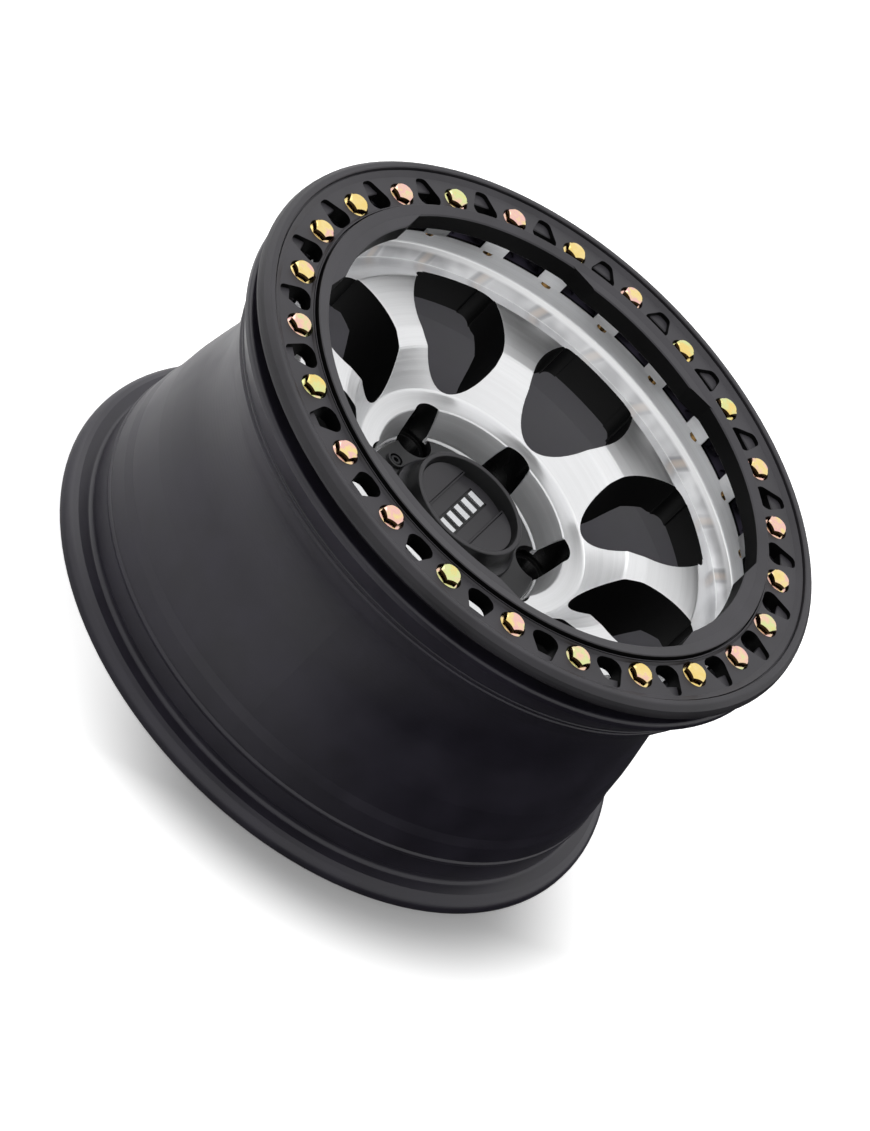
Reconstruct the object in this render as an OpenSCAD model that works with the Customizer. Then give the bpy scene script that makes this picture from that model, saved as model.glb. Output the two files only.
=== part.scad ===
// Beadlock wheel for an off-road truck: a cast aluminium wheel, a bolted clamping ring
// and a screwed centre cap. The wheel lies on its inboard flange with its axle along +Z
// and its face upwards. Z is zero on the mounting pad's plane, and +X passes through
// a lug hole, a window and a wide land of the clamping ring. All sizes are millimetres.

/* [Rim] */
// Radius of the tyre bead seats
bead_r = 218.3; // [205:0.1:230]
// Height of the inboard flange over the bead seats
flange_rise = 17.7; // [16.5:0.1:20]
// Height of the outboard lip over the bead seats
lip_rise = 11.7; // [10:0.1:12.5]
// Depth of the barrel's waist under the bead seats
waist_drop = 15.2; // [14:0.1:16.5]
// Height from the resting plane to the clamping ring's seat
seat_height = 236.5; // [230:0.5:250]
// Thickness of the barrel wall
wall = 8.5; // [7:0.5:10]

/* [Spoked face] */
// Number of windows
window_count = 8; // [6:1:9]
// Radius to a window's inner end
window_in_r = 97; // [95:0.5:100]
// Distance from the bead seats in to a window's outer end
window_inset = 38.9; // [37.5:0.1:42]
// Half of a window's greatest width
window_half_w = 40.6; // [34:0.2:41]
// Radius of the crease where the spokes turn down to the hub
crease_r = 116.4; // [112:0.2:122]
// Depth of the relief pocket behind each spoke, from the pad's plane
relief_top = 36; // [20:1:40]

/* [Hub] */
// Height of the mounting pad above the resting plane
pad_height = 115; // [110:1:120]
// Radius of the centre bore
bore_r = 53.1; // [50:0.1:53.5]
// Number of lug holes
lug_count = 6; // [5:1:6]
// Pitch circle diameter of the lug holes
lug_pcd = 139.7; // [138:0.1:142]
// Radius of a lug hole
lug_hole_r = 7.5; // [6.5:0.1:8]
// Radius of the well around a lug nut
well_r = 15; // [13:0.1:15.2]
// Radius of the hub recess at its mouth
recess_r = 79.9; // [78:0.1:82]
// Depth of the hub recess from the hub land
recess_depth = 27.9; // [26:0.1:30]
// Radius of the valve hole
valve_r = 5.75; // [4.5:0.05:8]

/* [Clamping ring] */
// Number of ring bolts and of ring slots
bolt_count = 24; // [20:1:24]
// Distance from the bead seats in to the bolt circle
bolt_inset = 14.5; // [14:0.1:15]
// Overhang of the clamping ring over the bead seats
ring_rise = 15.7; // [14.5:0.1:16.5]
// Reach of the clamping ring from the bolt circle in
ring_reach = 21.8; // [20:0.1:24]
// Further reach of the four wide lands
land_reach = 7.5; // [4:0.5:10]
// Thickness of the ring at the bolt circle
ring_t = 11.1; // [10:0.1:13]
// Radius of the counterbore for a bolt head
counterbore_r = 9.8; // [9.6:0.05:10.4]
// Distance from the bolt circle in to a slot's inner end
slot_reach_in = 9.1; // [7.5:0.1:9.3]
// Distance from the bolt circle out to a slot's outer end
slot_reach_out = 15; // [13:0.1:15.2]
// Half of a slot's greatest width
slot_half_w = 10.3; // [8:0.1:10.5]
// Depth of a slot's shelf under the ring's face
shelf_depth = 3.5; // [2:0.1:6]

/* [Ring bolts] */
// Width of the bolt head across its flats
hex_af = 14.2; // [12:0.1:14.5]
// Radius of the flange under the head
bolt_flange_r = 9.4; // [8.5:0.05:9.5]
// Radius of the bolt shank
shank_r = 4.75; // [4:0.05:4.9]
// Outer radius of the threaded insert
insert_r = 5.7; // [5.4:0.05:6]

/* [Centre cap] */
// Distance from the hub recess's mouth in to the edge of the cap's plate
plate_inset = 8.3; // [7.9:0.1:11]
// Thickness of the cap's plate
plate_t = 4.4; // [3:0.1:5]
// Distance from the plate's edge in to the dome's rim
dome_inset = 27.2; // [25:0.1:29.5]
// Height of the dome's rim above the plate
dome_h = 22; // [18:0.5:24]
// Width of the sunken band across the dome
band_w = 39; // [30:0.5:44]
// Width of a plain bar as a share of the bars' spacing
bar_share = 0.52; // [0.4:0.01:0.8]
// Number of plain bars on the band
bar_count = 5; // [3:1:6]

/* [Hidden] */
fine = 96;
fit = 0.1;
eps = 0.01;
floor_z = -pad_height;
seat_z = seat_height - pad_height;
flange_r = bead_r + flange_rise;
lip_r = bead_r + lip_rise;
waist_r = bead_r - waist_drop;
barrel_in_r = waist_r - wall;
window_out_r = bead_r - window_inset;
bolt_r = bead_r - bolt_inset;
seat_in_r = bolt_r - 7.8;
shoulder_r = seat_in_r - 25.1;
ring_r = bead_r + ring_rise;
ring_in_r = bolt_r - ring_reach;
land_in_r = ring_in_r - land_reach;
slot_in_r = bolt_r - slot_reach_in;
slot_out_r = bolt_r + slot_reach_out;
lug_r = lug_pcd / 2;
pad_r = lug_r + 16.65;
pitch = 360 / bolt_count;
win_pitch = 360 / window_count;
land_z = 47.4;
recess_z = land_z - recess_depth;
cb_floor_z = seat_z + ring_t - 2.6;
ring_face_z = seat_z + ring_t;
insert_hole_r = insert_r + 0.05;
insert_bottom_z = seat_z - 23.5;
insert_h = 22.5;
shank_h = cb_floor_z - insert_bottom_z - 1.5;
plate_r = recess_r - plate_inset;
dome_r = plate_r - dome_inset;
screw_r = between(dome_r + 6.1, plate_r, 0.37);
screw_turn = 30;
screw_boss_h = 2.6;
plate_z = recess_z + plate_t;
badge_l = 1.3 * dome_r;
badge_w = 0.405 * band_w;
cast_black = [0.07, 0.07, 0.08];
machined = [0.80, 0.81, 0.83];
ring_black = [0.13, 0.13, 0.14];
zinc_gold = [0.86, 0.73, 0.40];
cap_black = [0.09, 0.09, 0.10];
silver = [0.88, 0.88, 0.90];

function number_name(base, i) = str(base, i < 10 ? "0" : "", i);
ring_names = [for (i = [1:bolt_count]) number_name("bolt_", i)];
insert_names = [for (i = [1:bolt_count]) number_name("insert_", i)];
screw_names = [for (i = [1:3]) str("cap_screw_", i)];
base_names = ["wheel", "clamping_ring", "cap_plate", "cap_dome", "cap_bars"];

// Points of a round stretch in a profile, n steps from angle a to angle b
function arc(cx, cy, r, a, b, n = 6) =
    [for (i = [0:n]) [cx + r * cos(a + (b - a) * i / n), cy + r * sin(a + (b - a) * i / n)]];
function polar(r, a) = [r * cos(a), r * sin(a)];
function between(a, b, share) = a + (b - a) * share;
// Point where the outer tangent of two circles leaves the first one, on its right side
function tangent_side(c, r, d, s) =
    let (v = d - c, turn = acos((r - s) / norm(v)), a = atan2(v[1], v[0]) - turn)
    [c + r * [cos(a), sin(a)], d + s * [cos(a), sin(a)]];

// Outside of the rim from the inboard flange up to the ring's seat
function rim_outside() =
    let (f = floor_z, s = seat_z)
    concat(
        arc(flange_r - 0.8, f + 0.8, 0.8, -90, 0, 3),
        arc(flange_r - 9, f + 2.6, 9, 0, 60, 8),
        [[flange_r - 8, f + 12.1]],
        arc(bead_r + 3.1, f + 16.2, 3.4, 270, 180, 5),
        [[bead_r - 0.3, f + 18.4], [bead_r + 0.3, f + 19.2], [bead_r - 0.2, f + 33]],
        arc(bead_r - 1.4, f + 35.2, 1.9, -40, 50, 4),
        [[bead_r - 1, f + 37.4], [bead_r - 1, f + 38.1], [bead_r - 0.4, f + 38.4]],
        [[bead_r - 1.9, f + 52.6], [bead_r - 4, f + 60.5], [bead_r - 4.4, f + 65]],
        [[bead_r - 7.1, between(f, s, 0.372)], [bead_r - 9.3, between(f, s, 0.425)]],
        arc(waist_r + 105, between(f, s, 0.596), 105, 191.5, 180, 6),
        arc(waist_r + 104, between(f, s, 0.598), 104, 180, 156.2, 12),
        [[bead_r - 2.4, s - 43.2]],
        arc(bead_r - 2.2, s - 39.2, 1.6, -50, 60, 4),
        [[bead_r + 0.2, s - 34.4], [bead_r - 0.4, s - 33.9]],
        [[bead_r - 0.4, s - 33.1], [bead_r + 0.7, s - 31.5]],
        [[lip_r - 1.4, s - 16.4]],
        arc(lip_r - 2, s - 13.6, 2, -40, 0, 3),
        arc(lip_r - 3, s - 11.3, 3, 0, 90, 5),
        [[bead_r - 1.8, s - 8.3], [bead_r - 1.8, s - 0.8], [bead_r - 2.6, s]]
    );

// Face side of the wheel from the ring's seat in to the centre bore
function face_side() =
    let (s = seat_z)
    concat(
        [[seat_in_r + 0.8, s], [seat_in_r, s - 0.8], [seat_in_r, s - 19.1]],
        [[seat_in_r + 3.6, s - 19.9]],
        arc(seat_in_r + 0.6, s - 33, 3, 0, -43, 5),
        [[seat_in_r - 3, s - 46.5], [shoulder_r, 84.3]],
        arc(shoulder_r - 1.3, 82.7, 2, 51, 96, 3),
        [[between(crease_r, shoulder_r, 0.617), 81.4], [between(crease_r, shoulder_r, 0.24), 78.3]],
        [[between(crease_r, shoulder_r, 0.194), 77.6], [crease_r + 1.8, 74], [crease_r + 0.4, 73.3]],
        [[crease_r - 1, 71.9]],
        arc(recess_r + 15.1, 51, 3.2, -48, -88, 3),
        [[recess_r + 0.8, land_z + 0.1], [recess_r, land_z - 0.8]],
        [[recess_r - 6, recess_z + 4.7], [plate_r + 1, recess_z + 3.2], [plate_r + 1, recess_z]],
        [[bore_r + 1, recess_z], [bore_r, recess_z - 1], [bore_r, 1.5], [bore_r + 1.5, 0]]
    );

// Radius at a share of the way from the mounting pad's edge out to the barrel's inside
function back_r(share) = between(pad_r, barrel_in_r, share);

// Back of the wheel from the mounting pad out to the inboard flange
function back_side() =
    let (f = floor_z, s = seat_z, w = wall)
    concat(
        [[pad_r - 1, 0], [pad_r, 1], [pad_r + 1, 4]],
        arc(pad_r + 7.5, 1, 6.5, 145, 75, 4),
        [[back_r(0.237), 12], [back_r(0.423), 18]],
        arc(back_r(0.386), 34, 16.5, -70, -18, 4),
        [[back_r(0.609), 46], [back_r(0.721), 53]],
        arc(back_r(0.851), 35, 20, 118, 70, 4),
        arc(barrel_in_r - 8, 45.5, 8, 52, 0, 4),
        [[barrel_in_r, between(f, s, 0.6)], [barrel_in_r + 2.2, between(f, s, 0.53)]],
        [[bead_r - w - 10.8, between(f, s, 0.457)], [bead_r - w - 7.6, between(f, s, 0.338)]],
        [[bead_r - w - 5.4, f + 60], [bead_r - w - 2.4, f + 50], [bead_r - w - 0.6, f + 36]],
        arc(bead_r - w + 12, f + 22, 12.6, 180, 232, 5),
        arc(bead_r - w + 13.6, f + 3, 3, 130, 90, 3),
        [[flange_r - 9.5, f + 1.2], [flange_r - 8.3, f]]
    );

// Plan outline of one window, its centre on +X
module window_plan() {
    in_r = window_half_w - 3.4;
    mid = window_in_r + in_r + 10;
    side_r = window_half_w + 11.4;
    drop = side_r - window_half_w;
    corner = 9;
    corner_x = window_out_r - corner - 3.2;
    corner_y = sqrt(pow(side_r - corner, 2) - pow(corner_x - mid, 2)) - drop;
    translate([window_in_r + in_r, 0]) circle(r = in_r, $fn = fine);
    intersection() {
        translate([mid, -drop]) circle(r = side_r, $fn = fine);
        translate([mid, drop]) circle(r = side_r, $fn = fine);
        circle(r = window_out_r, $fn = 2 * fine);
        union() {
            translate([crease_r, -window_half_w - 1])
                square([corner_x - crease_r, 2 * window_half_w + 2]);
            translate([corner_x - 1, -corner_y]) square([30, 2 * corner_y]);
            for (side = [-1, 1]) translate([corner_x, side * corner_y])
                circle(r = corner, $fn = fine);
        }
    }
}

// Room under the sloping roof of the relief pockets behind the spokes
module relief_roof() {
    rotate_extrude($fn = fine)
        polygon([[back_r(0.13), -1], [back_r(0.13), relief_top - 8], [back_r(0.24), relief_top + 6],
                 [back_r(0.39), relief_top + 22], [back_r(0.665), relief_top + 30],
                 [back_r(0.665), -1]]);
}

module relief_pockets() {
    in_r = back_r(0.2);
    out_r = back_r(0.59);
    intersection() {
        relief_roof();
        union() {
            for (i = [0:window_count - 1]) rotate(win_pitch * (i + 0.5)) {
                translate([in_r, 0, -2]) cylinder(r = 5, h = 90, $fn = fine);
                translate([out_r, 0, -2]) cylinder(r = 7, h = 90, $fn = fine);
                translate([0, 0, -2]) linear_extrude(height = 90)
                    polygon([[in_r, -5], [out_r, -7], [out_r, 7], [in_r, 5]]);
            }
        }
    }
}

// Lug wells, their seats and the stud holes
module lug_cuts() {
    seat_in_z = 8;
    for (i = [0:lug_count - 1]) rotate(360 / lug_count * i) translate([lug_r, 0, 0]) {
        translate([0, 0, -1]) cylinder(r = lug_hole_r, h = 30, $fn = fine);
        translate([0, 0, seat_in_z])
            cylinder(r1 = lug_hole_r, r2 = lug_hole_r + 4, h = 6.93, $fn = fine);
        translate([0, 0, seat_in_z + 6.92]) cylinder(r = well_r, h = 60, $fn = fine);
    }
}

// Shallow reliefs in the mounting pad between the lug holes
module pad_reliefs() {
    for (i = [0:lug_count - 1]) rotate(360 / lug_count * (i + 0.5))
        translate([lug_r, 0, -1]) cylinder(r = 9, h = 4, $fn = fine);
}

// Pockets between the bolt tabs, open towards the axle
module tab_pockets() {
    tab_w = 22;
    corner = 5;
    in_r = seat_in_r - 6;
    out_r = bolt_r + 6.2;
    half = bolt_r * sin(pitch / 2) - tab_w / 2;
    for (i = [0:bolt_count - 1]) rotate(pitch * i) {
        translate([in_r, -half, seat_z - 18.6]) cube([out_r - corner - in_r, 2 * half, 30]);
        translate([bolt_r - 4, corner - half, seat_z - 18.6])
            cube([out_r - bolt_r + 4, 2 * (half - corner), 30]);
        for (side = [-1, 1]) translate([out_r - corner, side * (half - corner), seat_z - 20.4])
            cylinder(r = corner, h = 30, $fn = fine);
    }
}

// Holes for the threaded inserts, drilled from the seat with a pointed end
module insert_holes() {
    for (i = [0:bolt_count - 1]) rotate(pitch * (i + 0.5)) translate([bolt_r, 0, 0]) {
        translate([0, 0, insert_bottom_z]) cylinder(r = insert_hole_r, h = 40, $fn = fine);
        translate([0, 0, insert_bottom_z - 2.6])
            cylinder(r1 = 0.4, r2 = shank_r + 0.1, h = 2.61, $fn = fine);
    }
}

// Slanting valve hole in the gutter behind the ring, with a flat on the tyre side
module valve_hole() {
    rotate(90) translate([seat_in_r - 5, 0, 70]) rotate([0, 125, 0]) {
        translate([0, 0, -22]) cylinder(r = valve_r, h = 60, $fn = fine);
        translate([0, 0, 11.5]) cylinder(r = valve_r + 4, h = 20, $fn = fine);
    }
}

module cap_screw_holes() {
    for (i = [0:2]) rotate(screw_turn + 120 * i)
        translate([screw_r, 0, recess_z - 12]) cylinder(r = 2.5 + fit, h = 20, $fn = fine);
}

module wheel() {
    color(machined) difference() {
        rotate_extrude($fn = 2 * fine)
            polygon(concat(rim_outside(), face_side(), back_side()));
        for (i = [0:window_count - 1]) rotate(win_pitch * i)
            translate([0, 0, -20]) linear_extrude(height = 130) window_plan();
        relief_pockets();
        lug_cuts();
        pad_reliefs();
        tab_pockets();
        insert_holes();
        valve_hole();
        cap_screw_holes();
    }
}

// Section of the clamping ring between its wide lands
function ring_section() =
    let (s = seat_z, t = ring_face_z, b = bead_r - 1.2)
    concat(
        [[ring_in_r + 1, s], [b, s], [b, s + 5], [ring_r - 0.6, s + 5], [ring_r - 0.1, s + 5.5]],
        [[ring_r, s + 7.2], [ring_r - 0.4, s + 9.4], [ring_r - 1.3, s + 12.2]],
        arc(ring_r - 5.7, s + 13.2, 2.4, 42, 90, 4),
        [[ring_r - 8.2, s + 15.6], [ring_r - 9, s + 14.9], [ring_r - 9, t + 0.9]],
        [[ring_r - 10.3, t + 0.9], [ring_r - 10.3, t + 2.4], [slot_out_r + 0.8, t + 0.2]],
        [[slot_out_r + 0.4, t], [slot_in_r + 0.2, t]],
        arc(slot_in_r + 0.2, t + 2.6, 1.6, 235, 180, 3),
        [[slot_in_r - 2.2, t + 2.6], [slot_in_r - 2.4, t - 1.1], [slot_in_r - 3.6, t - 1.1]],
        [[slot_in_r - 3.6, t + 4.9], [slot_in_r - 4.2, t + 5.5]],
        [[ring_in_r + 1, t + 4.3], [ring_in_r, t + 3.4], [ring_in_r, s + 1]]
    );

// Section of a wide land, which reaches further in than the rest
function land_section() =
    let (s = seat_z, t = ring_face_z)
    [[land_in_r + 0.8, s + 0.3], [ring_in_r + 2, s + 0.3], [ring_in_r + 2, t + 4.3],
     [land_in_r + 1, t + 4], [land_in_r, t + 3.2], [land_in_r, s + 1.1]];

module land_wedges() {
    inner = polar(land_in_r - 3, 12.8);
    outer = polar(ring_in_r + 6, 26);
    for (i = [0:3]) rotate(90 * i)
        polygon([[100, 0], [inner[0], -inner[1]], [outer[0], -outer[1]], [ring_in_r + 30, 0],
                 outer, inner]);
}

// Plan outline of one ring slot, its centre on +X
module slot_plan() {
    r1 = 6.8;
    r2 = 4.6;
    c1 = [slot_in_r + r1, slot_half_w - r1];
    c2 = [slot_out_r - r2, 1.2];
    side = tangent_side([c1[0], -c1[1]], r1, [c2[0], -c2[1]], r2);
    for (s = [-1, 1]) {
        translate([c1[0], s * c1[1]]) circle(r = r1, $fn = fine);
        translate([c2[0], s * c2[1]]) circle(r = r2, $fn = fine);
    }
    polygon([[slot_in_r, -c1[1]], side[0], side[1], [slot_out_r, -c2[1]],
             [slot_out_r, c2[1]], [side[1][0], -side[1][1]], [side[0][0], -side[0][1]],
             [slot_in_r, c1[1]]]);
}

// One slot: through at its inner part, with a level shelf at its outer part
module ring_slot() {
    shelf_in_r = bolt_r + 5.2;
    shelf_z = ring_face_z - shelf_depth;
    intersection() {
        translate([0, 0, seat_z - 5]) linear_extrude(height = 40) slot_plan();
        rotate([90, 0, 0]) linear_extrude(height = 40, center = true)
            polygon([[slot_in_r - 10, seat_z - 2], [shelf_in_r, seat_z - 2],
                     [shelf_in_r, shelf_z - 0.9], [shelf_in_r + 0.7, shelf_z - 0.1],
                     [slot_out_r + 1, shelf_z + 0.1], [slot_out_r + 5, ring_face_z + 20],
                     [slot_in_r - 10, ring_face_z + 20]]);
    }
}

module clamping_ring() {
    color(ring_black) difference() {
        union() {
            rotate_extrude($fn = 2 * fine) polygon(ring_section());
            intersection() {
                rotate_extrude($fn = 2 * fine) polygon(land_section());
                translate([0, 0, seat_z - 10]) linear_extrude(height = 50) land_wedges();
            }
        }
        for (i = [0:bolt_count - 1]) rotate(pitch * i) ring_slot();
        for (i = [0:bolt_count - 1]) rotate(pitch * (i + 0.5)) translate([bolt_r, 0, 0]) {
            translate([0, 0, cb_floor_z]) cylinder(r = counterbore_r, h = 12, $fn = fine);
            translate([0, 0, seat_z - 1]) cylinder(r = shank_r + 0.45, h = 20, $fn = fine);
        }
    }
}

// Flanged hex bolt with a chamfered head, standing on its own flange
module ring_bolt() {
    head_h = 6.9;
    flange_h = 1.9;
    color(zinc_gold) union() {
        translate([0, 0, -shank_h]) cylinder(r = shank_r - 0.5, h = 1.2, $fn = fine);
        translate([0, 0, 1 - shank_h]) cylinder(r = shank_r, h = shank_h, $fn = fine);
        cylinder(r = bolt_flange_r, h = 1, $fn = fine);
        translate([0, 0, 1 - eps])
            cylinder(r1 = bolt_flange_r, r2 = hex_af / 2 + 0.2, h = flange_h - 1, $fn = fine);
        intersection() {
            cylinder(r = hex_af / sqrt(3), h = head_h, $fn = 6);
            union() {
                cylinder(r = hex_af, h = head_h - 1.5, $fn = fine);
                translate([0, 0, head_h - 1.5 - eps])
                    cylinder(r1 = hex_af / 2 + 1.5, r2 = hex_af / 2 - 0.7, h = 1.5 + eps, $fn = fine);
            }
        }
    }
}

// Threaded sleeve with its own end chamfers
module ring_insert() {
    color(zinc_gold) difference() {
        cylinder(r = insert_r, h = insert_h, $fn = fine);
        translate([0, 0, -1]) cylinder(r = shank_r + fit, h = insert_h + 2, $fn = fine);
        translate([0, 0, insert_h - 0.6])
            cylinder(r1 = shank_r + fit, r2 = shank_r + fit + 0.6, h = 0.61, $fn = fine);
    }
}

module place_on_bolt_circle(i) {
    rotate(pitch * (i - 0.5)) translate([bolt_r, 0, 0]) children();
}

// Cap plate between the lug wells, with a boss around each screw
module cap_plate() {
    hole_r = dome_r + 6.1;
    color(cap_black) difference() {
        union() {
            rotate_extrude($fn = 2 * fine)
                polygon([[hole_r, recess_z], [plate_r - 0.4, recess_z], [plate_r, recess_z + 0.4],
                         [plate_r, plate_z - 1], [plate_r - 1, plate_z], [hole_r, plate_z]]);
            for (i = [0:2]) rotate(screw_turn + 120 * i) translate([screw_r, 0, plate_z - 1])
                cylinder(r1 = 7.2, r2 = 6.6, h = screw_boss_h + 1, $fn = fine);
        }
        for (i = [0:lug_count - 1]) rotate(360 / lug_count * i)
            translate([lug_r, 0, recess_z - 1]) cylinder(r = well_r + 0.3, h = 20, $fn = fine);
        for (i = [0:2]) rotate(screw_turn + 120 * i) translate([screw_r, 0, 0]) {
            translate([0, 0, recess_z - 1]) cylinder(r = 2.5 + 0.2, h = 20, $fn = fine);
            translate([0, 0, recess_z + 2]) cylinder(r = 5.2, h = 20, $fn = fine);
        }
    }
}

// Section of the dome: a spigot, a shoulder on the plate, a skirt and a rolled rim
function dome_section() =
    let (p = plate_z, top = plate_z + dome_h, fr = dome_r - 6)
    concat(
        [[0, p + 5], [fr - 2, p + 5], [dome_r + 1.5, recess_z + 0.5], [dome_r + 5.5, recess_z + 0.5]],
        [[dome_r + 6, recess_z + 1], [dome_r + 6, p], [dome_r + 7.1, p], [dome_r + 7.1, p + 1.6]],
        arc(dome_r + 12.5, p + 13, 11, 235, 190, 5),
        [[dome_r, top - 1.6]],
        arc(dome_r - 1.2, top - 1.1, 1.2, 0, 90, 4),
        arc(dome_r - 2.8, top - 1.1, 1.2, 90, 180, 4),
        [[dome_r - 4.6, top - 4], [fr, p + 10.4], [0, p + 10.4]]
    );

// Raised side segments of the dome's floor, which climb away from the band
module dome_segments() {
    intersection() {
        translate([0, 0, plate_z + 8]) cylinder(r = dome_r - 5.4, h = 10, $fn = 2 * fine);
        for (side = [0, 180]) rotate(side) translate([-dome_r, band_w / 2 + 0.8, plate_z + 4])
            rotate([12, 0, 0]) cube([2 * dome_r, dome_r, 9]);
    }
}

module cap_dome() {
    color(cap_black) difference() {
        union() {
            rotate_extrude($fn = 2 * fine) polygon(dome_section());
            dome_segments();
        }
        translate([-badge_l / 2 - 0.3, -badge_w / 2 - 0.3, plate_z + 9])
            cube([badge_l + 0.6, badge_w + 0.6, 5]);
        for (side = [-1, 1]) translate([-dome_r, side * (band_w / 2 + 0.4) - 0.4, plate_z + 9.6])
            intersection() {
                cube([2 * dome_r, 0.8, 12]);
                translate([dome_r, -side * (band_w / 2 + 0.4) + 0.4, 0])
                    cylinder(r = dome_r - 6.2, h = 12, $fn = 2 * fine);
            }
    }
}

// Plain upright bars on a thin backing, let into the band
module cap_bars() {
    length = badge_l - 4;
    bar_l = badge_w - 3;
    step = length / (bar_count - 1 + bar_share);
    color(silver) union() {
        translate([-badge_l / 2, -badge_w / 2, plate_z + 9]) cube([badge_l, badge_w, 0.7]);
        for (i = [0:bar_count - 1])
            translate([step * i - length / 2, -bar_l / 2, plate_z + 9.5])
                cube([step * bar_share, bar_l, 1.7]);
    }
}

// Socket screw that holds the cap plate
module cap_screw() {
    head_r = 4.25;
    color(cap_black) difference() {
        union() {
            translate([0, 0, -11]) cylinder(r = 2.5, h = 12, $fn = fine);
            cylinder(r = head_r, h = 4, $fn = fine);
            translate([0, 0, 4 - eps])
                cylinder(r1 = head_r, r2 = head_r - 0.6, h = 0.6, $fn = fine);
        }
        translate([0, 0, 2]) cylinder(r = 2.3, h = 4, $fn = 6);
    }
}

wheel();
clamping_ring();
cap_plate();
cap_dome();
cap_bars();
for (i = [1:3])
    rotate(screw_turn + 120 * (i - 1)) translate([screw_r, 0, recess_z + 2]) cap_screw();
for (i = [1:bolt_count])
    place_on_bolt_circle(i) translate([0, 0, cb_floor_z]) ring_bolt();
for (i = [1:bolt_count])
    place_on_bolt_circle(i) translate([0, 0, insert_bottom_z]) ring_insert();
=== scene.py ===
"""Looks of a beadlock wheel: cast wheel, clamping ring, ring bolts, inserts and centre cap.

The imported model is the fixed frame. The wheel lies on its inboard flange with its axle
along +Z. Lengths named _mm are millimetres, and all others are metres.
"""

import logging
import math
from dataclasses import dataclass, field
from enum import Enum

import bpy
from mathutils import Matrix, Vector


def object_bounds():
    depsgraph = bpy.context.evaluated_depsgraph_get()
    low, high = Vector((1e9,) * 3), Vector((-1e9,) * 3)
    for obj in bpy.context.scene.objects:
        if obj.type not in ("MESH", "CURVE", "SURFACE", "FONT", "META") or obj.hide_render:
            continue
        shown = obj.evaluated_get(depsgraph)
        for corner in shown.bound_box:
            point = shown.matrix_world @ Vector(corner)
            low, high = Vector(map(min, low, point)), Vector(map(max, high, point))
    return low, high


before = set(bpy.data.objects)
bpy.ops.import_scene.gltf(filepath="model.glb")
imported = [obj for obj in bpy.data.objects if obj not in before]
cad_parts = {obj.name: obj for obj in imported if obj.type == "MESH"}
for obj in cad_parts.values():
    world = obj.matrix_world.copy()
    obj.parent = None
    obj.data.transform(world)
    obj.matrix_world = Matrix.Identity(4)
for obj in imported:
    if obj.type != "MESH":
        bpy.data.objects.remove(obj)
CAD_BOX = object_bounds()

Triple = tuple[float, float, float]
Colour = Triple
Span = tuple[float, float]
LOG = logging.getLogger("wheel")
WHITE: Colour = (1.0, 1.0, 1.0)
FLOOR_Z = CAD_BOX[0][2]
MOST_NOISE: Span = (0.3, 0.7)


class Axis(Enum):
    """A direction of the wheel's frame."""

    X = "X"
    Y = "Y"
    Z = "Z"


class Ray(Enum):
    """A kind of ray that the floor or the backdrop answers in its own way."""

    CAMERA = "Is Camera Ray"
    GLOSSY = "Is Glossy Ray"
    TRANSMISSION = "Is Transmission Ray"


class Owner(Enum):
    """What a set of nodes belongs to, given by the type of its last node."""

    MATERIAL = "ShaderNodeOutputMaterial"
    WORLD = "ShaderNodeOutputWorld"


class Wrapped:
    """A socket of one material's nodes, kept with the desk that it lies on."""

    def __init__(self, desk: "Desk", socket: bpy.types.NodeSocket) -> None:
        """Keeps the socket.

        Args:
            desk: The material's node desk.
            socket: The output that the value comes from.
        """
        self.desk = desk
        self.socket = socket


class Number(Wrapped):
    """A number that changes over the surface. Arithmetic on it adds Math nodes."""

    def _math(self, operation: str, *values: "Number | float") -> "Number":
        """Adds a Math node over the values."""
        return self.desk.number("ShaderNodeMath", {"operation": operation},
                                dict(enumerate(values)))

    def __add__(self, other: "Number | float") -> "Number":
        """Sum."""
        return self._math("ADD", self, other)

    __radd__ = __add__

    def __sub__(self, other: "Number | float") -> "Number":
        """Difference."""
        return self._math("SUBTRACT", self, other)

    def __rsub__(self, other: float) -> "Number":
        """Difference from a plain number."""
        return self._math("SUBTRACT", other, self)

    def __mul__(self, other: "Number | float") -> "Number":
        """Product."""
        return self._math("MULTIPLY", self, other)

    __rmul__ = __mul__

    def __abs__(self) -> "Number":
        """Size without its sign."""
        return self._math("ABSOLUTE", self)

    def __lt__(self, other: "Number | float") -> "Number":
        """One where this is less than the other, and zero elsewhere."""
        return self._math("LESS_THAN", self, other)

    def __gt__(self, other: "Number | float") -> "Number":
        """One where this is greater than the other, and zero elsewhere."""
        return self._math("GREATER_THAN", self, other)

    def __or__(self, other: "Number") -> "Number":
        """The greater of two masks."""
        return self._math("MAXIMUM", self, other)

    def __and__(self, other: "Number") -> "Number":
        """The product of two masks."""
        return self._math("MULTIPLY", self, other)

    def cosine(self) -> "Number":
        """Cosine of an angle in radians."""
        return self._math("COSINE", self)

    def between(self, low: float, high: float) -> "Number":
        """One between two bounds, and zero outside them.

        Args:
            low: Lower bound.
            high: Upper bound.

        Returns:
            The mask.
        """
        return (self > low) & (self < high)

    def spread(self, start: float, end: float, low: float = 0.0, high: float = 1.0,
               smooth: bool = False) -> "Number":
        """Carries the stretch from start to end over to low and high, and clamps it.

        Args:
            start: Value that gives low.
            end: Value that gives high.
            low: Result at and before start.
            high: Result at and after end.
            smooth: Whether the change eases in and out.

        Returns:
            The carried number.
        """
        kind = "SMOOTHSTEP" if smooth else "LINEAR"
        return self.desk.number("ShaderNodeMapRange", {"interpolation_type": kind, "clamp": True},
                                {0: self, 1: start, 2: end, 3: low, 4: high})


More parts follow.
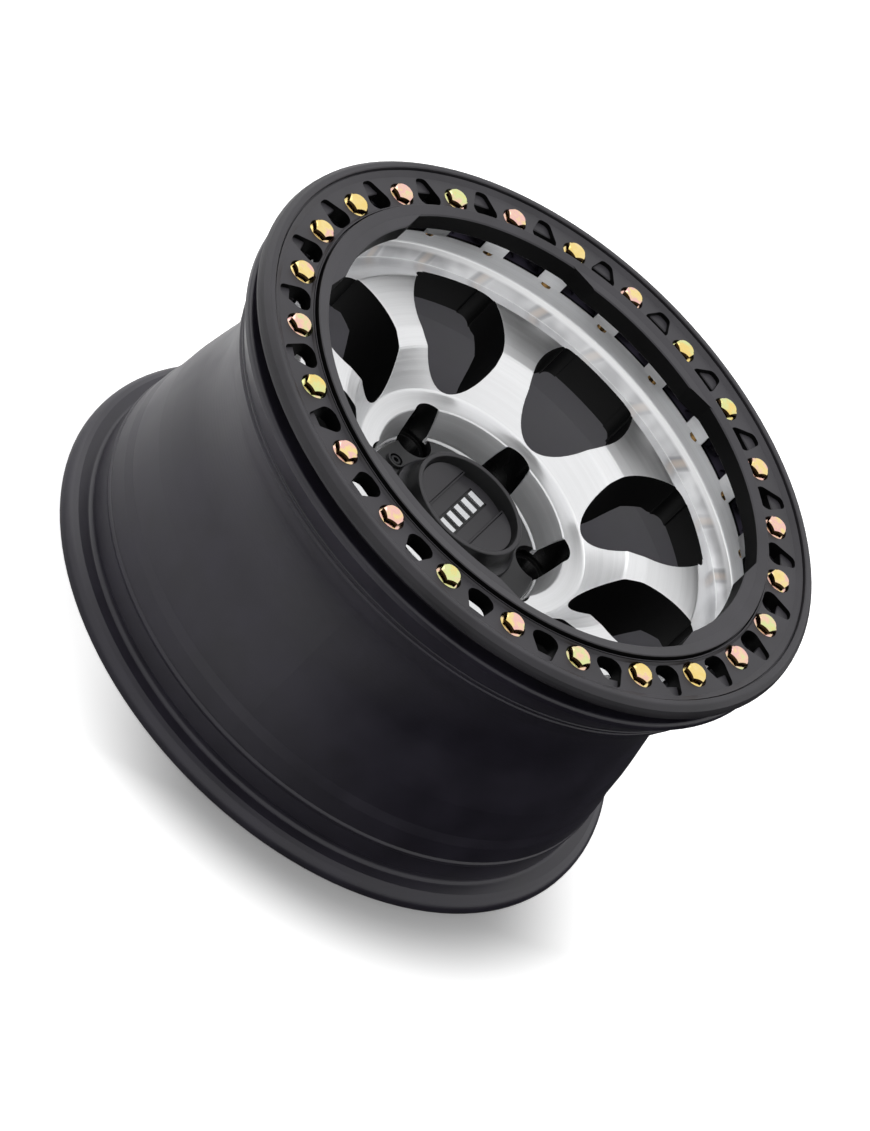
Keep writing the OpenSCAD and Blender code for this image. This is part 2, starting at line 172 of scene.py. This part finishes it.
class Shade(Wrapped):
    """A colour that changes over the surface."""

    def mix(self, other: "Shade | Colour", amount: Number) -> "Shade":
        """Mixes towards another colour.

        Args:
            other: The colour at an amount of one.
            amount: Share of the other colour.

        Returns:
            The mixed colour.
        """
        return self.desk.mixed(self, other, amount)


class Place(Wrapped):
    """A point or direction in space. Arithmetic on it adds Vector Math nodes."""

    def _math(self, operation: str, *values: "Place | Triple") -> "Place":
        """Adds a Vector Math node over the values."""
        return self.desk.place("ShaderNodeVectorMath", {"operation": operation},
                               dict(enumerate(values)))

    def __add__(self, other: "Place | Triple") -> "Place":
        """Sum by parts."""
        return self._math("ADD", self, other)

    __radd__ = __add__

    def __mul__(self, other: "Place | Triple") -> "Place":
        """Product by parts."""
        return self._math("MULTIPLY", self, other)

    __rmul__ = __mul__

    def part(self, axis: Axis) -> Number:
        """One of the three parts.

        Args:
            axis: Which one.

        Returns:
            The part as a number.
        """
        return self.desk.number("ShaderNodeSeparateXYZ", {}, {0: self}, axis.value)

    def from_axle(self) -> Number:
        """Distance from the axle."""
        level = self * (1.0, 1.0, 0.0)
        return self.desk.number("ShaderNodeVectorMath", {"operation": "LENGTH"}, {0: level},
                                "Value")

    def turn(self) -> Number:
        """Angle round the axle in radians."""
        return self.desk.number("ShaderNodeMath", {"operation": "ARCTAN2"},
                                {0: self.part(Axis.Y), 1: self.part(Axis.X)})


class Desk:
    """The nodes of one material or backdrop, made as they are asked for."""

    def __init__(self, name: str, owner: Owner = Owner.MATERIAL) -> None:
        """Starts an empty set of nodes.

        Args:
            name: The name of the material or backdrop.
            owner: Which of the two it is.
        """
        makers = {Owner.MATERIAL: bpy.data.materials, Owner.WORLD: bpy.data.worlds}
        self.owner = owner
        self.result = makers[owner].new(name)
        self.result.use_nodes = True
        self.tree = self.result.node_tree
        self.tree.nodes.clear()

    def node(self, kind: str, settings: dict[str, object] | None = None,
             values: dict[int | str, object] | None = None) -> bpy.types.Node:
        """Adds a node.

        Args:
            kind: The node's type.
            settings: Its properties, set first. The stops of a ramp are pairs of a position
                and a colour.
            values: Numbers, colours or wrapped sockets for its inputs, by index or name.

        Returns:
            The node.
        """
        made = self.tree.nodes.new(kind)
        for name, value in (settings or {}).items():
            if name == "stops":
                self._set_stops(made.color_ramp.elements, value)
            else:
                setattr(made, name, value)
        for key, value in (values or {}).items():
            socket = made.inputs[key]
            if isinstance(value, Wrapped):
                self.tree.links.new(value.socket, socket)
            elif isinstance(value, bpy.types.NodeSocket):
                self.tree.links.new(value, socket)
            elif socket.type == "RGBA":
                socket.default_value = (*value, 1.0)
            else:
                socket.default_value = value
        return made

    @staticmethod
    def _set_stops(elements: bpy.types.ColorRampElements,
                   stops: list[tuple[float, Colour]]) -> None:
        """Gives a ramp its stops."""
        while len(elements) < len(stops):
            elements.new(1.0)
        for element, (position, colour) in zip(elements, stops):
            element.position = position
            element.color = (*colour, 1.0)

    def number(self, kind: str, settings: dict[str, object], values: dict[int | str, object],
               output: int | str = 0) -> Number:
        """Adds a node and gives one of its outputs as a number."""
        return Number(self, self.node(kind, settings, values).outputs[output])

    def shade(self, kind: str, settings: dict[str, object], values: dict[int | str, object],
              output: int | str = 0) -> Shade:
        """Adds a node and gives one of its outputs as a colour."""
        return Shade(self, self.node(kind, settings, values).outputs[output])

    def place(self, kind: str, settings: dict[str, object], values: dict[int | str, object],
              output: int | str = 0) -> Place:
        """Adds a node and gives one of its outputs as a point or direction."""
        return Place(self, self.node(kind, settings, values).outputs[output])

    def mixed(self, first: Shade | Colour, second: Shade | Colour, amount: Number) -> Shade:
        """Mixes two colours.

        Args:
            first: Colour at an amount of zero.
            second: Colour at an amount of one.
            amount: Share of the second colour.

        Returns:
            The mixed colour.
        """
        return self.shade("ShaderNodeMix", {"data_type": "RGBA"},
                          {0: amount, 6: first, 7: second}, 2)

    def point_mm(self) -> Place:
        """The point on the surface in the wheel's frame, in millimetres."""
        found = self.place("ShaderNodeTexCoord", {}, {}, "Object")
        return found * (1000.0, 1000.0, 1000.0)

    def upward(self, smooth: bool = False) -> Number:
        """How far the surface faces up: one on a level face, zero on a wall.

        Args:
            smooth: Whether the smoothed normal is taken in place of the facet's own.

        Returns:
            The upward part of the normal.
        """
        return self.place("ShaderNodeNewGeometry", {}, {},
                          "Normal" if smooth else "True Normal").part(Axis.Z)

    def ray(self, kind: Ray) -> Number:
        """One for rays of one kind, and zero for all others."""
        return self.number("ShaderNodeLightPath", {}, {}, kind.value)

    def noise(self, where: Place, size_mm: float, detail: float = 2.0) -> Number:
        """Cloudy noise, centred on one half.

        Args:
            where: Point in millimetres.
            size_mm: Width of a cloud.
            detail: Number of finer layers.

        Returns:
            The noise.
        """
        return self.number("ShaderNodeTexNoise", {},
                           {"Vector": where, "Scale": 1.0 / size_mm, "Detail": detail})

    def rings(self, along: Number, per_mm: float, detail: float) -> Number:
        """Noise that changes along one number only, such as a lathe's marks.

        Args:
            along: The number that it follows, in millimetres.
            per_mm: Marks for each millimetre.
            detail: Number of finer layers.

        Returns:
            The noise.
        """
        return self.number("ShaderNodeTexNoise", {"noise_dimensions": "1D"},
                           {"W": along, "Scale": per_mm, "Detail": detail})

    def soft_edge(self, radius: float) -> Place:
        """Normal that rounds sharp edges by a small radius."""
        return self.place("ShaderNodeBevel", {"samples": 4}, {"Radius": radius})

    def bumped(self, height: Number, depth: float, normal: Place) -> Place:
        """Normal of a surface with fine relief.

        Args:
            height: Relief from zero to one.
            depth: Its real depth in metres.
            normal: Normal that the relief starts from.

        Returns:
            The bumped normal.
        """
        return self.place("ShaderNodeBump", {}, {"Strength": 1.0, "Distance": depth,
                                                 "Height": height, "Normal": normal})

    def surface(self, values: dict[str, object]) -> bpy.types.NodeSocket:
        """Adds a surface shader and gives its output."""
        return self.node("ShaderNodeBsdfPrincipled", {}, values).outputs[0]

    def matt(self, colour: Colour) -> bpy.types.NodeSocket:
        """Adds an even matt surface and gives its output."""
        return self.node("ShaderNodeBsdfDiffuse", {}, {"Color": colour}).outputs[0]

    def blend(self, first: bpy.types.NodeSocket, second: bpy.types.NodeSocket,
              mask: Number) -> bpy.types.NodeSocket:
        """Lays the second surface over the first where the mask is one."""
        return self.node("ShaderNodeMixShader", {}, {0: mask, 1: first, 2: second}).outputs[0]

    def close(self, shader: bpy.types.NodeSocket) -> bpy.types.Material | bpy.types.World:
        """Joins the finished shader to the last node.

        Args:
            shader: The shader's output.

        Returns:
            The material or backdrop.
        """
        self.node(self.owner.value, {}, {"Surface": shader})
        return self.result


def toned(colour: Colour, share: float) -> Colour:
    """A colour made paler or darker by one factor, and no paler than white."""
    return tuple(min(1.0, share * part) for part in colour)


def beside(middle: float, offsets: Span) -> Span:
    """The two numbers that lie off a middle one by two offsets."""
    return middle + offsets[0], middle + offsets[1]


@dataclass(frozen=True)
class PowderCoat:
    """Satin powder coat: a dark skin with fine orange peel and slightly uneven gloss."""

    colour: Colour
    roughness: float
    specular: float = 0.5
    peel_mm: float = 0.9
    peel_depth: float = 0.000012
    cloud_mm: float = 38.0
    shades: Span = (0.84, 1.22)
    duller: Span = (-0.04, 0.05)

    def shader(self, desk: Desk, where: Place, normal: Place) -> bpy.types.NodeSocket:
        """Lays the coat.

        Args:
            desk: The material's desk.
            where: Point in millimetres.
            normal: Normal with softened edges.

        Returns:
            The coat's shader.
        """
        cloud = desk.noise(where, self.cloud_mm)
        peel = desk.noise(where, self.peel_mm, 1.0)
        dark, pale = (toned(self.colour, share) for share in self.shades)
        return desk.surface({
            "Base Color": desk.mixed(dark, pale, cloud.spread(*MOST_NOISE)),
            "Roughness": cloud.spread(0.25, 0.75, *beside(self.roughness, self.duller)),
            "Specular IOR Level": self.specular,
            "Normal": desk.bumped(peel, self.peel_depth, normal),
        })


@dataclass(frozen=True)
class GutterReflections:
    """Painted reflections on the gutter's slope: short dashes, gold between two grey ones under
    each bolt tab, standing in for the bolts and the dark pockets mirrored there.
    """

    grey: Colour = (0.20, 0.20, 0.215)
    gold: Colour = (0.40, 0.325, 0.27)
    tabs: int = 24
    first: float = 1.89
    slant: float = 0.006
    upright_mm: float = 196.0
    gold_wave: Span = (0.86, 1.0)
    streak_wave: Span = (0.3, 0.85)
    inner_mm: Span = (192.9, 193.4)
    outer_mm: Span = (196.6, 197.6)
    top_mm: float = 99.0
    cloud_mm: float = 60.0
    faintest: float = 0.3
    haze_mm: float = 20.0
    haze_offset_mm: Triple = (9.0, 31.0, 0.0)
    haze: Span = (0.18, 0.55)

    def lay(self, desk: Desk, where: Place, radius: Number,
            height: Number) -> tuple[Shade, Number]:
        """Lays the painted reflections.

        Args:
            desk: The material's desk.
            where: Point in millimetres.
            radius: Distance from the axle in millimetres.
            height: Height above the mounting pad in millimetres.

        Returns:
            Their colour, and how strong they are.
        """
        # Painted reflection: grey and gold by angle round the axle, in step with the bolt tabs, in
        # a band on the gutter's slope.
        turn = where.turn() + (radius - self.upright_mm) * self.slant
        wave = (turn * float(self.tabs) - self.first).cosine()
        colour = desk.mixed(self.grey, self.gold, wave.spread(*self.gold_wave))
        cloud = desk.noise(where, self.cloud_mm, 1.0).spread(0.32, 0.68, self.faintest, 1.0)
        strong = wave.spread(*self.streak_wave, smooth=True) & cloud
        haze = desk.noise(where + self.haze_offset_mm, self.haze_mm, 1.0)
        faint = haze.spread(0.35, 0.65, *self.haze)
        band = radius.spread(*self.inner_mm) & radius.spread(*self.outer_mm, 1.0, 0.0)
        return colour, (strong | faint) & band & (height < self.top_mm)


@dataclass(frozen=True)
class TurnedAluminium:
    """Aluminium turned on a lathe under a thin clear coat, with fine rings round the axle and
    painted reflections on the gutter's slope.
    """

    colour: Colour = (0.90, 0.905, 0.915)
    roughness: float = 0.36
    wall_roughness: float = 0.55
    anisotropy: float = 0.3
    lines_per_mm: float = 1.0 / 0.6
    bands_per_mm: float = 0.22
    height_share: float = 0.83
    line_depth: float = 0.0000008
    cloud_mm: float = 55.0
    shades: Span = (0.94, 1.03)
    uneven: Span = (-0.03, 0.03)
    coat: float = 0.3
    coat_roughness: float = 0.1
    hub_edge_mm: Span = (80.2, 80.8)
    gutter_edge_mm: Span = (198.8, 199.4)
    painted_reflections: GutterReflections = GutterReflections()

    def _roughness(self, radius: Number) -> Number:
        """Roughness at a radius: duller on the hub recess's wall and on the gutter's wall."""
        hub = radius.spread(*self.hub_edge_mm, self.wall_roughness, self.roughness)
        step = self.wall_roughness - self.roughness
        return hub + radius.spread(*self.gutter_edge_mm, 0.0, step)

    def shader(self, desk: Desk, where: Place, radius: Number, height: Number,
               normal: Place) -> bpy.types.NodeSocket:
        """Lays the turned metal.

        Args:
            desk: The material's desk.
            where: Point in millimetres.
            radius: Distance from the axle in millimetres.
            height: Height above the mounting pad in millimetres.
            normal: Normal with softened edges.

        Returns:
            The metal's shader.
        """
        along = radius + height * self.height_share
        lines = desk.rings(along, self.lines_per_mm, 2.0)
        bands = desk.rings(along, self.bands_per_mm, 3.0)
        cloud = desk.noise(where, self.cloud_mm)
        tone = lines.spread(*MOST_NOISE, 0.0, 0.5) + bands.spread(0.35, 0.65, 0.0, 0.5)
        uneven = (cloud.spread(*MOST_NOISE, *self.uneven)
                  + bands.spread(*MOST_NOISE, *self.uneven))
        dark, pale = (toned(self.colour, share) for share in self.shades)
        colour = desk.mixed(dark, pale, tone)
        return desk.surface({
            # Painted reflection of the bolts and the dark pockets, mixed into the metal's colour.
            "Base Color": colour.mix(*self.painted_reflections.lay(desk, where, radius, height)),
            "Metallic": 1.0,
            "Roughness": uneven + self._roughness(radius),
            "Anisotropic": self.anisotropy,
            "Coat Weight": self.coat,
            "Coat Roughness": self.coat_roughness,
            "Normal": desk.bumped(lines, self.line_depth, normal),
        })


@dataclass(frozen=True)
class YellowZinc:
    """Yellow zinc plating: pale gold with pink and green clouds, with painted shade that turns it
    brown on the flanks.
    """

    gold: Colour = (0.93, 0.70, 0.24)
    straw: Colour = (0.95, 0.76, 0.34)
    pink: Colour = (0.93, 0.55, 0.52)
    peach: Colour = (0.95, 0.66, 0.46)
    green: Colour = (0.74, 0.82, 0.38)
    shaded_flank: Colour = (0.34, 0.20, 0.07)
    shaded_flank_up: Span = (0.25, 0.8)
    roughness: float = 0.17
    duller: Span = (-0.04, 0.08)
    wide_mm: float = 52.0
    wide_share: float = 0.72
    small_mm: float = 7.0
    small_share: float = 0.28
    small_offset_mm: Triple = (40.0, 7.0, 3.0)
    grain_mm: float = 0.35
    grain_depth: float = 0.000004
    edge: float = 0.00035

    def material(self) -> bpy.types.Material:
        """The plating as a material."""
        desk = Desk("yellow_zinc_plating")
        where = desk.point_mm()
        wide = desk.noise(where, self.wide_mm, 1.0)
        small = desk.noise(where + self.small_offset_mm, self.small_mm, 3.0)
        cloud = wide * self.wide_share + small * self.small_share
        tints = desk.shade("ShaderNodeValToRGB", {"stops": [
            (0.36, self.gold), (0.44, self.straw), (0.49, self.pink),
            (0.54, self.peach), (0.60, self.green), (0.68, self.gold)]}, {0: cloud})
        up = desk.upward(smooth=True)
        grain = desk.noise(where, self.grain_mm, 1.0)
        return desk.close(desk.surface({
            # Painted shade: steep faces, found by the normal, are mixed towards brown.
            "Base Color": desk.mixed(self.shaded_flank, tints, up.spread(*self.shaded_flank_up)),
            "Metallic": 1.0,
            "Roughness": small.spread(*MOST_NOISE, *beside(self.roughness, self.duller)),
            "Normal": desk.bumped(grain, self.grain_depth, desk.soft_edge(self.edge)),
        }))


@dataclass(frozen=True)
class Moulded:
    """Moulded plastic with a fine grain, or painted metal where it is given a sheen."""

    colour: Colour
    roughness: float
    metallic: float = 0.0
    grain_mm: float = 0.5
    grain_depth: float = 0.000008
    cloud_mm: float = 21.0
    shades: Span = (0.88, 1.15)
    duller: Span = (-0.03, 0.04)
    edge: float = 0.0003

    def shader(self, desk: Desk, where: Place) -> bpy.types.NodeSocket:
        """Lays the finish.

        Args:
            desk: The material's desk.
            where: Point in millimetres.

        Returns:
            The finish's shader.
        """
        cloud = desk.noise(where, self.cloud_mm)
        grain = desk.noise(where, self.grain_mm, 1.0)
        dark, pale = (toned(self.colour, share) for share in self.shades)
        return desk.surface({
            "Base Color": desk.mixed(dark, pale, cloud.spread(*MOST_NOISE)),
            "Metallic": self.metallic,
            "Roughness": cloud.spread(*MOST_NOISE, *beside(self.roughness, self.duller)),
            "Normal": desk.bumped(grain, self.grain_depth, desk.soft_edge(self.edge)),
        })

    def material(self, name: str) -> bpy.types.Material:
        """The finish by itself, as a material of the given name."""
        desk = Desk(name)
        return desk.close(self.shader(desk, desk.point_mm()))


@dataclass(frozen=True)
class Zone:
    """A zone of the casting between two radii and two heights, in millimetres."""

    radius: Span
    height: Span

    def mask(self, radius: Number, height: Number) -> Number:
        """One inside the zone, and zero outside it."""
        return radius.between(*self.radius) & height.between(*self.height)


@dataclass(frozen=True)
class WheelSkin:
    """Finish of the cast wheel: turned where the lathe reached, coated black elsewhere, with
    painted shade that makes the coat near black in its windows, inner pockets and lug wells.
    """

    metal: TurnedAluminium = TurnedAluminium()
    barrel: PowderCoat = PowderCoat((0.022, 0.0195, 0.030), 0.34)
    inside: PowderCoat = PowderCoat((0.040, 0.038, 0.048), 0.55)
    shaded_pocket: PowderCoat = PowderCoat((0.003, 0.003, 0.0032), 0.6, 0.1)
    shaded_well: PowderCoat = PowderCoat((0.003, 0.003, 0.0032), 0.26, 0.4)
    edge: float = 0.0005
    face_mm: tuple[Span, ...] = (
        (80.7, 47.5), (95.1, 47.8), (97.14, 48.62), (115.4, 71.9), (116.8, 73.3),
        (118.2, 74.0), (126.97, 77.6), (129.48, 78.3), (150.03, 81.4), (169.4, 84.69),
        (170.9, 84.3), (193.0, 75.0), (198.8, 86.45), (199.6, 88.5))
    face_span_mm: Span = (80.4, 199.9)
    face_reach_mm: float = 1.4
    face_up: float = 0.3
    turned_zones: tuple[Zone, ...] = (
        Zone((199.0, 200.2), (85.0, 102.2)),
        Zone((195.4, 196.5), (101.5, 121.3)),
        Zone((195.4, 200.2), (101.4, 102.45)),
        Zone((71.9, 74.7), (19.0, 24.6)))
    recess_foot_mm: Span = (73.9, 24.2)
    recess_slope: float = 6.0 / 22.4
    recess_height_mm: Span = (23.6, 47.6)
    recess_reach_mm: float = 0.7
    bore_mm: float = 54.7
    well_mm: float = 92.0
    windows: Zone = Zone((0.0, 187.0), (6.0, 125.0))
    rim_mm: float = 60.0
    shell_height_mm: Span = (-115.0, 110.0)
    shell_radius_mm: Span = (207.0, 198.6)

    def _face_height(self, radius: Number) -> Number:
        """Height of the turned face at a radius, built up from its straight stretches."""
        height = radius * 0.0 + self.face_mm[0][1]
        for (r0, z0), (r1, z1) in zip(self.face_mm, self.face_mm[1:]):
            height = height + radius.spread(r0, r1, 0.0, z1 - z0)
        return height

    def _turned(self, radius: Number, height: Number, up: Number) -> Number:
        """Mask of what the lathe cut after the coating.

        Args:
            radius: Distance from the axle in millimetres.
            height: Height above the mounting pad in millimetres.
            up: Upward part of the normal.

        Returns:
            The mask.
        """
        near = abs(height - self._face_height(radius)) < self.face_reach_mm
        turned = near & (up > self.face_up) & radius.between(*self.face_span_mm)
        for zone in self.turned_zones:
            turned = turned | zone.mask(radius, height)
        foot_r, foot_z = self.recess_foot_mm
        wall_r = (height - foot_z) * self.recess_slope + foot_r
        on_wall = abs(radius - wall_r) < self.recess_reach_mm
        recess = on_wall & height.between(*self.recess_height_mm)
        return turned | recess | (radius < self.bore_mm)

    def material(self) -> bpy.types.Material:
        """The wheel's finish as one material."""
        desk = Desk("wheel_finish")
        where = desk.point_mm()
        radius = where.from_axle()
        height = where.part(Axis.Z)
        normal = desk.soft_edge(self.edge)
        # Painted shade: near-black copies of the coat in the windows, the inner pockets and the lug
        # wells.
        shaded_hole = desk.blend(self.shaded_pocket.shader(desk, where, normal),
                          self.shaded_well.shader(desk, where, normal), radius < self.well_mm)
        dark = desk.blend(self.inside.shader(desk, where, normal), shaded_hole,
                          self.windows.mask(radius, height) | (height > self.rim_mm))
        shell_r = height.spread(*self.shell_height_mm, *self.shell_radius_mm)
        coat = desk.blend(dark, self.barrel.shader(desk, where, normal), radius > shell_r)
        bright = self.metal.shader(desk, where, radius, height, normal)
        turned = self._turned(radius, height, desk.upward())
        return desk.close(desk.blend(coat, bright, turned))


@dataclass
class CastWheel:
    """The one-piece cast wheel."""

    skin: WheelSkin = field(default_factory=WheelSkin)

    def dress(self) -> None:
        """Gives the casting its finish."""
        put_on("wheel", self.skin.material())


@dataclass(frozen=True)
class RingSkin:
    """Powder coat of the clamping ring, with painted shade that makes its steep inner walls near
    black.
    """

    face: PowderCoat = PowderCoat((0.034, 0.0325, 0.037), 0.44, 0.36, 0.6)
    shaded_hole_walls: PowderCoat = PowderCoat((0.003, 0.003, 0.0032), 0.5, 0.1)
    holes_mm: float = 219.4
    wall_up: float = 0.3
    edge: float = 0.0006

    def material(self) -> bpy.types.Material:
        """The ring's finish as one material."""
        desk = Desk("ring_finish")
        where = desk.point_mm()
        normal = desk.soft_edge(self.edge)
        # Painted shade: steep walls nearer the axle than holes_mm take a near-black copy of the
        # coat.
        walls = (where.from_axle() < self.holes_mm) & (desk.upward() < self.wall_up)
        return desk.close(desk.blend(self.face.shader(desk, where, normal),
                                     self.shaded_hole_walls.shader(desk, where, normal), walls))


@dataclass
class ClampingRing:
    """The bolted ring that holds the tyre's outer bead, its bolts and their inserts."""

    bolts: int = 24
    skin: RingSkin = field(default_factory=RingSkin)
    plating: YellowZinc = field(default_factory=YellowZinc)

    def dress(self) -> None:
        """Gives the ring, the bolts and the inserts their finishes."""
        put_on("clamping_ring", self.skin.material())
        plated = self.plating.material()
        for number in range(1, self.bolts + 1):
            put_on(f"bolt_{number:02d}", plated)
            put_on(f"insert_{number:02d}", plated)


@dataclass
class CentreCap:
    """The screwed cap over the axle: plate, dome, plain bars and three screws."""

    plate: Moulded = Moulded((0.013, 0.013, 0.014), 0.42)
    dome: Moulded = Moulded((0.024, 0.023, 0.026), 0.38)
    dome_wall_shade: Moulded = Moulded((0.006, 0.006, 0.0065), 0.42)
    dome_edge: Span = (0.45, 0.75)
    backing: Moulded = Moulded((0.006, 0.006, 0.0065), 0.4)
    bars: Moulded = Moulded((0.78, 0.79, 0.81), 0.3, 0.6)
    bars_from_mm: float = 33.65
    screws: Moulded = Moulded((0.03, 0.03, 0.032), 0.35, 0.7)
    screw_count: int = 3

    def _dome_material(self) -> bpy.types.Material:
        """The dome's finish: grained on the flats, with painted shade that makes it darker on the
        steep walls.
        """
        desk = Desk("cap_dome_finish")
        where = desk.point_mm()
        # Painted shade: the steep walls take a near-black copy of the dome's plastic.
        return desk.close(desk.blend(self.dome_wall_shade.shader(desk, where),
                                     self.dome.shader(desk, where),
                                     desk.upward().spread(*self.dome_edge)))

    def _bars_material(self) -> bpy.types.Material:
        """The bars' finish: bright paint on their tops, black below them."""
        desk = Desk("cap_bars_finish")
        where = desk.point_mm()
        return desk.close(desk.blend(self.backing.shader(desk, where),
                                     self.bars.shader(desk, where),
                                     where.part(Axis.Z) > self.bars_from_mm))

    def dress(self) -> None:
        """Gives each piece of the cap its finish."""
        put_on("cap_plate", self.plate.material("cap_plate_plastic"))
        put_on("cap_dome", self._dome_material())
        put_on("cap_bars", self._bars_material())
        oxide = self.screws.material("black_oxide")
        for number in range(1, self.screw_count + 1):
            put_on(f"cap_screw_{number}", oxide)


@dataclass(frozen=True)
class Lamp:
    """A soft square lamp that shines at the wheel's middle, its angles in degrees."""

    name: str
    azimuth: float
    elevation: float
    distance: float
    size: float
    radiance: float
    mirrored: bool = True

    def hang(self) -> bpy.types.Object:
        """Hangs the lamp.

        Returns:
            The lamp's object.
        """
        data = bpy.data.lights.new(self.name, "AREA")
        data.shape = "SQUARE"
        data.size = self.size
        data.energy = self.radiance * math.pi * self.size ** 2
        lamp = bpy.data.objects.new(self.name, data)
        around, above = math.radians(self.azimuth), math.radians(self.elevation)
        way = Vector((math.cos(around) * math.cos(above), math.sin(around) * math.cos(above),
                      math.sin(above)))
        lamp.rotation_euler = way.to_track_quat("Z", "Y").to_euler()
        lamp.location = way * self.distance
        lamp.visible_camera = False
        lamp.visible_glossy = self.mirrored
        bpy.context.scene.collection.objects.link(lamp)
        return lamp


@dataclass(frozen=True)
class PaleFloor:
    """The plain floor: white to the camera through a glow painted by place, which hides the floor's
    shadow except in a patch at the wheel's foot and under the wheel.

    Beyond one side of the wheel it is painted dark to other rays, a painted shade that dims the
    light it sends back.
    """

    half: float = 9.0
    pale: Colour = (0.9, 0.9, 0.9)
    dim: Colour = (0.02, 0.02, 0.022)
    dim_from_mm: Span = (-120.0, 280.0)
    shadow_glow: float = 0.03
    clear_glow: float = 0.62
    wheel_mm: Span = (215.0, 236.0)
    clear_mm: Span = (238.0, 312.0)
    shadow_offset_mm: Triple = (-190.0, -120.0, 0.0)
    shadow_mm: Span = (110.0, 250.0)

    def _glowing(self, desk: Desk, strength: float) -> bpy.types.NodeSocket:
        """The pale floor with a faint even glow of the given strength."""
        glow = desk.node("ShaderNodeEmission", {}, {"Color": WHITE, "Strength": strength})
        return desk.node("ShaderNodeAddShader", {},
                         {0: desk.matt(self.pale), 1: glow.outputs[0]}).outputs[0]

    def material(self) -> bpy.types.Material:
        """The floor's finish."""
        desk = Desk("pale_floor")
        where = desk.point_mm()
        # Painted shade: to rays other than the camera's, the floor turns dark beyond one side of
        # the wheel.
        dim = where.part(Axis.Y).spread(*self.dim_from_mm, smooth=True)
        bounce = desk.blend(desk.matt(self.pale), desk.matt(self.dim), dim)
        # Painted light: the glow is strong away from the wheel and weak in a patch at its foot and
        # under it, so the floor's real shadow shows only there.
        beyond = where.from_axle().spread(*self.clear_mm, smooth=True)
        aside = (where + self.shadow_offset_mm).from_axle().spread(*self.shadow_mm, smooth=True)
        outside = where.from_axle().spread(*self.wheel_mm)
        white = desk.blend(self._glowing(desk, self.shadow_glow),
                           self._glowing(desk, self.clear_glow), (beyond | aside) & outside)
        return desk.close(desk.blend(bounce, white, desk.ray(Ray.CAMERA)))

    def lay(self) -> bpy.types.Object:
        """Lays the floor that the wheel rests on.

        Returns:
            The floor's object.
        """
        mesh = bpy.data.meshes.new("floor")
        corners = [(-self.half, -self.half, FLOOR_Z), (self.half, -self.half, FLOOR_Z),
                   (self.half, self.half, FLOOR_Z), (-self.half, self.half, FLOOR_Z)]
        mesh.from_pydata(corners, [], [(0, 1, 2, 3)])
        mesh.materials.append(self.material())
        floor = bpy.data.objects.new("floor", mesh)
        bpy.context.scene.collection.objects.link(floor)
        return floor


@dataclass
class Studio:
    """Floor, lamps, backdrop and camera."""

    floor: PaleFloor = field(default_factory=PaleFloor)
    lamps: tuple[Lamp, ...] = (
        Lamp("lamp_over", 195.0, 76.0, 2.6, 1.3, 9.0, mirrored=False),
        Lamp("lamp_side", -110.0, 30.0, 1.6, 1.0, 0.9),
        Lamp("lamp_under", 0.0, -90.0, 0.108, 0.24, 2.6),
    )
    soft_light: float = 0.42
    mirrored_light: float = 0.98
    backdrop: float = 1.0
    camera_at: Triple = (2.56554, 0.03889, 1.81457)
    camera_right: Triple = (-0.42058642, 0.69712786, 0.5806202)
    camera_up: Triple = (-0.39984216, -0.71690164, 0.5711202)
    lens: float = 142.555

    def place_camera(self) -> None:
        """Sets the camera where the photograph was taken."""
        data = bpy.data.cameras.new("camera")
        data.lens = self.lens
        data.clip_end = 50.0
        camera = bpy.data.objects.new("camera", data)
        right = Vector(self.camera_right).normalized()
        back = right.cross(Vector(self.camera_up)).normalized()
        turn = Matrix((right, back.cross(right), back)).transposed().to_4x4()
        camera.matrix_world = Matrix.Translation(Vector(self.camera_at)) @ turn
        bpy.context.scene.collection.objects.link(camera)
        bpy.context.scene.camera = camera

    def light_world(self) -> None:
        """Makes the backdrop white to the camera and in reflections, and soft as light."""
        desk = Desk("backdrop", Owner.WORLD)
        soft, mirrored, white = (
            desk.node("ShaderNodeBackground", {}, {"Color": WHITE, "Strength": strength}).outputs[0]
            for strength in (self.soft_light, self.mirrored_light, self.backdrop))
        shiny = desk.blend(soft, mirrored, desk.ray(Ray.GLOSSY) | desk.ray(Ray.TRANSMISSION))
        bpy.context.scene.world = desk.close(desk.blend(shiny, white, desk.ray(Ray.CAMERA)))

    def build(self) -> None:
        """Sets up the whole studio."""
        self.place_camera()
        self.floor.lay()
        self.light_world()
        for lamp in self.lamps:
            lamp.hang()
        bpy.context.scene.view_settings.view_transform = "Standard"


def put_on(node: str, material: bpy.types.Material) -> None:
    """Gives a CAD node a finish.

    Args:
        node: The node's name.
        material: The finish.
    """
    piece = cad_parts[node]
    for place in piece.material_slots:
        place.material = material
    LOG.info("%s wears %s", node, material.name)


def main() -> None:
    """Builds the looks in order."""
    logging.basicConfig(level=logging.INFO, format="%(name)s: %(message)s")
    Studio().build()
    CastWheel().dress()
    ClampingRing().dress()
    CentreCap().dress()


if __name__ == "__main__":
    main()
